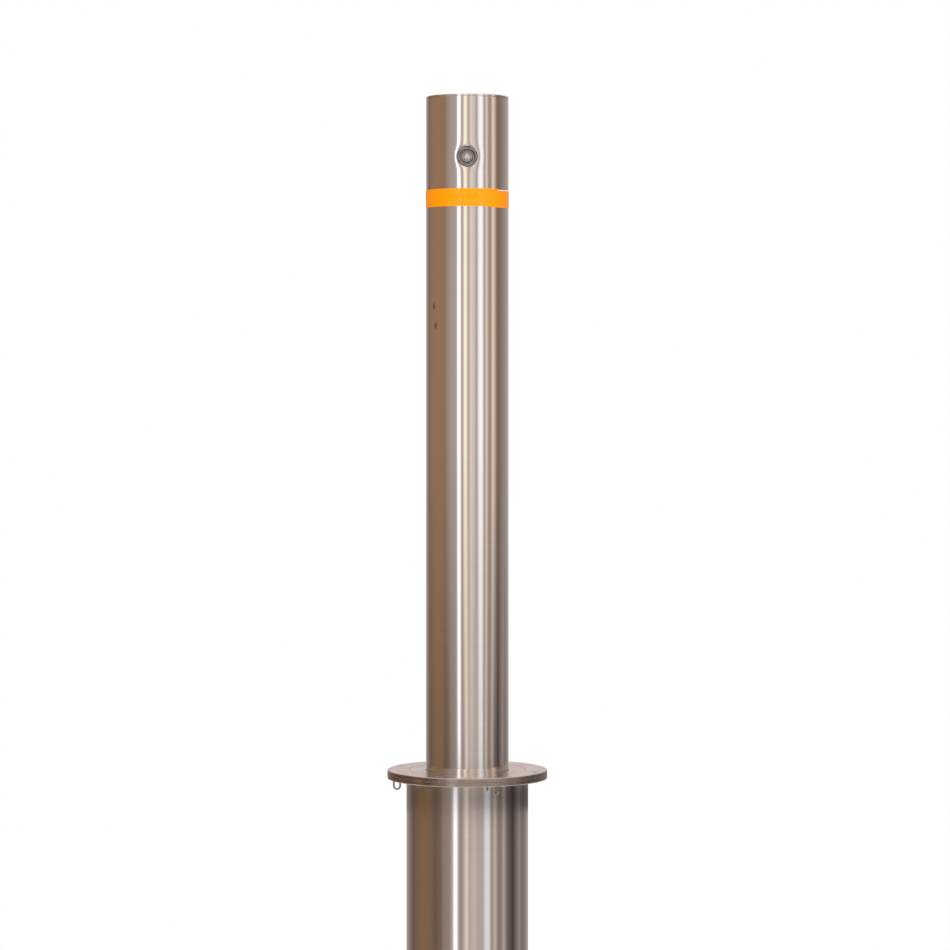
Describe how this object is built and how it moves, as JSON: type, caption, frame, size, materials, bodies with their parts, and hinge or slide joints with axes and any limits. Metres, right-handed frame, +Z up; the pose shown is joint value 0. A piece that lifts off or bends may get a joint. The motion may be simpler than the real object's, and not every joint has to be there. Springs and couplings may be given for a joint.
{
  "type": "retractable safety bollard",
  "caption": "Round stainless steel post with an orange reflective band and a key lock, which slides down into a flanged in-ground sleeve.",
  "frame": {"origin": "on the sleeve's axis at the underside of the ground flange, which is the finished ground level", "axes": "+Z up along the post; the lock and the front face -Y; +X to the right seen from the front"},
  "size_m": [0.221, 0.221, 2.072],
  "materials": {
    "post_steel": "polished round the post, reflections smeared upright",
    "sleeve_steel": "bright polished",
    "flange_steel": "satin",
    "reflective_tape": "prismatic amber reflective film",
    "lock_steel": "polished",
    "screw_steel": "satin",
    "loop_wire": "dark drawn wire",
    "inner_steel": "zinc-coated mild steel",
    "acetal": "machined black acetal",
    "rubber": "matt black"
  },
  "bodies": {
    "sleeve": {"anchor_loop_1": "loop_wire", "anchor_loop_2": "loop_wire", "anchor_loop_3": "loop_wire", "anchor_loop_4": "loop_wire", "base_plate": "flange_steel", "buffer_1": "rubber", "buffer_2": "rubber", "buffer_3": "rubber", "bush_housing": "inner_steel", "cover_ring": "flange_steel", "cover_screw_1": "screw_steel", "cover_screw_2": "screw_steel", "cover_screw_3": "screw_steel", "cover_screw_4": "screw_steel", "ground_flange": "flange_steel", "guide_cap_ring": "flange_steel", "guide_rail": "inner_steel", "guide_screw_1": "screw_steel", "guide_screw_2": "screw_steel", "guide_screw_3": "screw_steel", "guide_screw_4": "screw_steel", "keeper_ring": "inner_steel", "outer_sleeve": "sleeve_steel", "upper_guide_bush": "acetal", "wiper_seal": "rubber"},
    "post": {"post_tube": "post_steel", "top_cap": "post_steel", "lift_socket": "screw_steel", "socket_plug": "acetal", "reflective_band": "reflective_tape", "lock_housing": "lock_steel", "lock_bracket": "inner_steel", "lock_nut": "inner_steel", "rod_guide_upper": "inner_steel", "rod_guide_lower": "inner_steel", "upper_bolt_guide": "inner_steel", "lower_bolt_guide": "inner_steel", "stop_ring": "inner_steel", "foot_guide": "acetal", "foot_plate": "inner_steel", "foot_flange": "inner_steel", "foot_screw_1": "screw_steel", "foot_screw_2": "screw_steel", "foot_screw_3": "screw_steel", "foot_screw_4": "screw_steel"},
    "lock": {"lock_spindle": "lock_steel", "spindle_circlip": "screw_steel", "crank_arm": "inner_steel", "crank_pin": "screw_steel", "crank_screw": "screw_steel"},
    "rod": {"yoke_plate": "inner_steel", "pull_rod": "inner_steel", "cam_plate": "inner_steel"},
    "bolt_left": {"latch_bolt_left": "screw_steel", "bolt_pin_left": "screw_steel"},
    "bolt_right": {"latch_bolt_right": "screw_steel", "bolt_pin_right": "screw_steel"}
  },
  "joints": [
    {"name": "post_slide", "type": "slide", "parent": "sleeve", "child": "post", "axis": [0, 0, 1], "range_m": [-0.93, 0]},
    {"name": "lock_turn", "type": "hinge", "parent": "post", "child": "lock", "pos_m": [0, 0, 0.856], "axis": [0, 1, 0], "range_deg": [0, 90]},
    {"name": "rod_slide", "type": "slide", "parent": "post", "child": "rod", "axis": [0, 0, -1], "range_m": [0, 0.01556]},
    {"name": "bolt_left_slide", "type": "slide", "parent": "post", "child": "bolt_left", "axis": [-1, 0, 0], "range_m": [0, 0.01556]},
    {"name": "bolt_right_slide", "type": "slide", "parent": "post", "child": "bolt_right", "axis": [1, 0, 0], "range_m": [0, 0.01556]}
  ],
  "couplings": [
    {"joint": "lock_turn", "follows": "rod_slide", "rad_per_m": 100.97},
    {"joint": "bolt_left_slide", "follows": "rod_slide", "ratio": 1},
    {"joint": "bolt_right_slide", "follows": "rod_slide", "ratio": 1}
  ]
}
